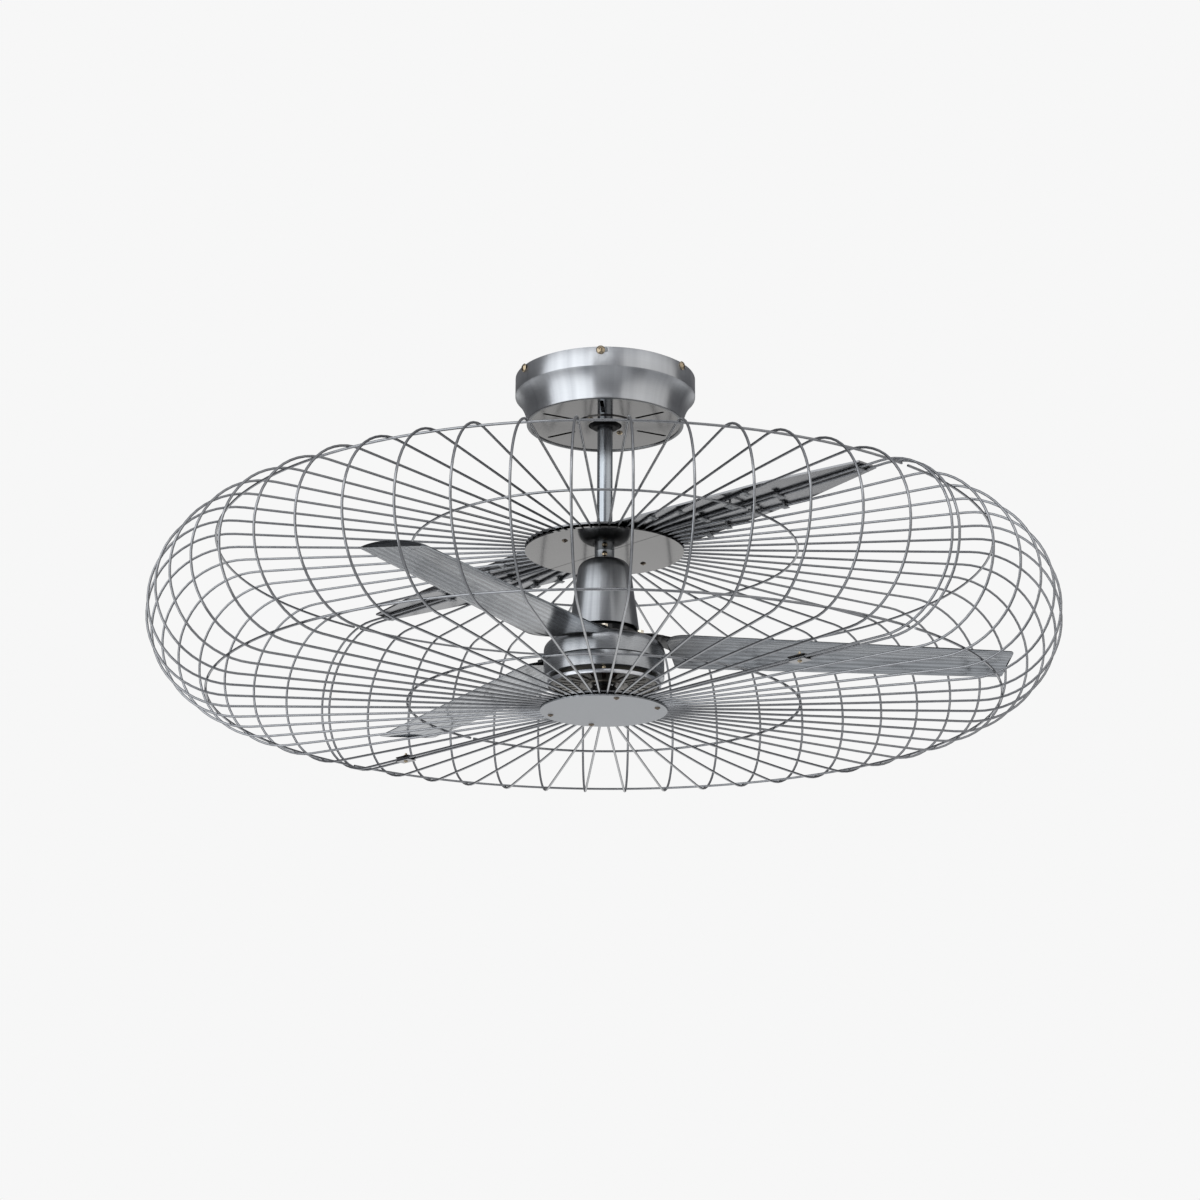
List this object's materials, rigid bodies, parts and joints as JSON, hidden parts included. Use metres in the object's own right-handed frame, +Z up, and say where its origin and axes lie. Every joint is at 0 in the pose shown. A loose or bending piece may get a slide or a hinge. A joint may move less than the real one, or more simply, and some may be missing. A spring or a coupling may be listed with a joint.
{
  "type": "caged ceiling fan",
  "caption": "Ceiling fan whose bladed motor turns inside a round two-part wire cage, hung by a tube and ball joint from a spun metal canopy.",
  "frame": {"origin": "centre of the ceiling bolt circle, on the ceiling plane at the fan's axis", "axes": "+Z up out of the ceiling plate, the fan hangs along -Z; the picture's camera is on the -Y side, with +X to its right"},
  "size_m": [1.1742, 1.1726, 0.4592],
  "materials": {
    "zinc_plate": "zinc plated",
    "screw_steel": "zinc plated",
    "grommet_rubber": "matt",
    "white_plastic": "moulded",
    "black_plastic": "moulded",
    "spun_aluminium": "spun and brushed",
    "polished_sheet": "polished, mirror like",
    "brass_screw": "pale brass",
    "black_enamel": "gloss enamel",
    "rod_steel": "brushed",
    "spine_sheet": "rolled sheet",
    "cage_wire": "satin drawn wire",
    "satin_sheet": "satin",
    "bell_aluminium": "satin",
    "case_aluminium": "machined satin",
    "end_bell_metal": "dark grey",
    "iron_enamel": "gunmetal enamel",
    "blade_metal": "polished, streaked",
    "lamination_steel": "stacked laminations",
    "winding_copper": "enamelled copper wire",
    "bearing_steel": "ground"
  },
  "bodies": {
    "ceiling_mount": {"mounting_plate": "zinc_plate", "hanger_bracket": "zinc_plate", "bracket_screws": "screw_steel", "cable_grommet": "grommet_rubber", "terminal_block": "white_plastic", "receiver_box": "black_plastic", "canopy": "spun_aluminium", "canopy_floor": "polished_sheet", "ball_collar": "polished_sheet", "collar_screws": "brass_screw", "canopy_screws": "brass_screw"},
    "seat": {"seat_liner": "white_plastic"},
    "hanger": {"hanger_ball": "black_enamel", "cross_pin": "screw_steel", "downrod": "rod_steel", "neck_coupler": "rod_steel", "coupler_screws": "brass_screw", "spine_plate": "spine_sheet", "spine_clips": "spine_sheet", "spine_screws": "screw_steel", "ring_saddles": "spine_sheet", "front_top_plate": "polished_sheet", "rear_top_plate": "polished_sheet", "front_backing_plate": "spine_sheet", "rear_backing_plate": "spine_sheet", "top_plate_screws": "brass_screw", "flange_screws": "screw_steel", "front_cage_wires": "cage_wire", "rear_cage_wires": "cage_wire", "front_cage_rings": "cage_wire", "rear_cage_rings": "cage_wire", "front_inner_plate": "spine_sheet", "rear_inner_plate": "spine_sheet", "bottom_plate": "satin_sheet", "bottom_plate_screws": "brass_screw", "seam_clip_tops": "black_enamel", "seam_clip_bottoms": "spine_sheet", "seam_clip_screws": "brass_screw", "bell_cover": "bell_aluminium", "run_capacitor": "black_plastic", "motor_shaft": "rod_steel", "stator_core": "lamination_steel", "stator_windings": "winding_copper", "bearing_inner_rings": "bearing_steel", "lower_hub": "black_enamel", "hub_screws": "brass_screw"},
    "rotor": {"flywheel": "black_enamel", "upper_case": "case_aluminium", "lower_case": "case_aluminium", "lower_end_bell": "end_bell_metal", "trim_ring": "case_aluminium", "case_screws": "brass_screw", "rotor_ring": "lamination_steel", "bearing_outer_rings": "bearing_steel", "bearing_balls": "bearing_steel", "blade_irons": "iron_enamel", "iron_bolts": "brass_screw", "blade_screws": "screw_steel", "blades": "blade_metal"}
  },
  "joints": [
    {"name": "tilt_x", "type": "hinge", "parent": "ceiling_mount", "child": "seat", "pos_m": [0, 0, -0.052], "axis": [1, 0, 0], "range_deg": [-12, 12]},
    {"name": "tilt_y", "type": "hinge", "parent": "seat", "child": "hanger", "pos_m": [0, 0, -0.052], "axis": [0, 1, 0], "range_deg": [-12, 12]},
    {"name": "rotor_spin", "type": "hinge", "parent": "hanger", "child": "rotor", "pos_m": [0, 0, -0.39], "axis": [0, 0, 1], "continuous": true}
  ]
}
